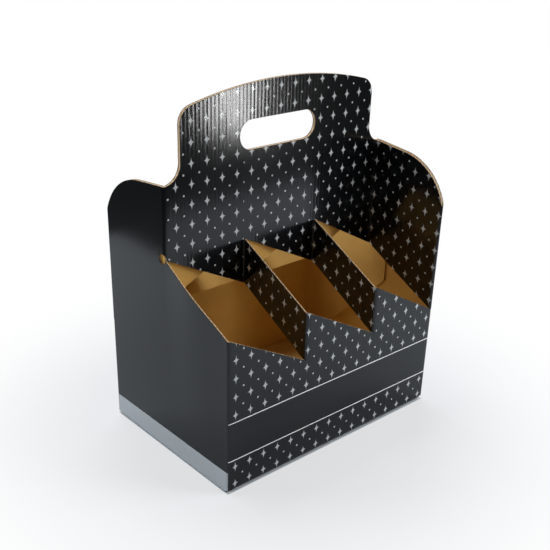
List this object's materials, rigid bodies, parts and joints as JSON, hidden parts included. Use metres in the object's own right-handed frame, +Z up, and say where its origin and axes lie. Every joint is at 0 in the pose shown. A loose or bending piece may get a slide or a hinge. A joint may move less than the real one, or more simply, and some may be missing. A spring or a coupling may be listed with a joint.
{
  "type": "bottle carrier",
  "caption": "Folded corrugated-board bottle carrier with strap-divided cells, notched front and rear panels, tall curved shoulders and a doubled arched handle with a hand hole.",
  "frame": {"origin": "on the ground under the middle of the handle, at the centre of the footprint", "axes": "+Z up, +X along the handle to the right as seen from the front, -Y towards the front"},
  "size_m": [0.24, 0.162, 0.3059],
  "materials": {
    "board": "satin black print outside, bare brown kraft inside"
  },
  "bodies": {
    "root": {"carrier_board": "board"}
  },
  "joints": []
}
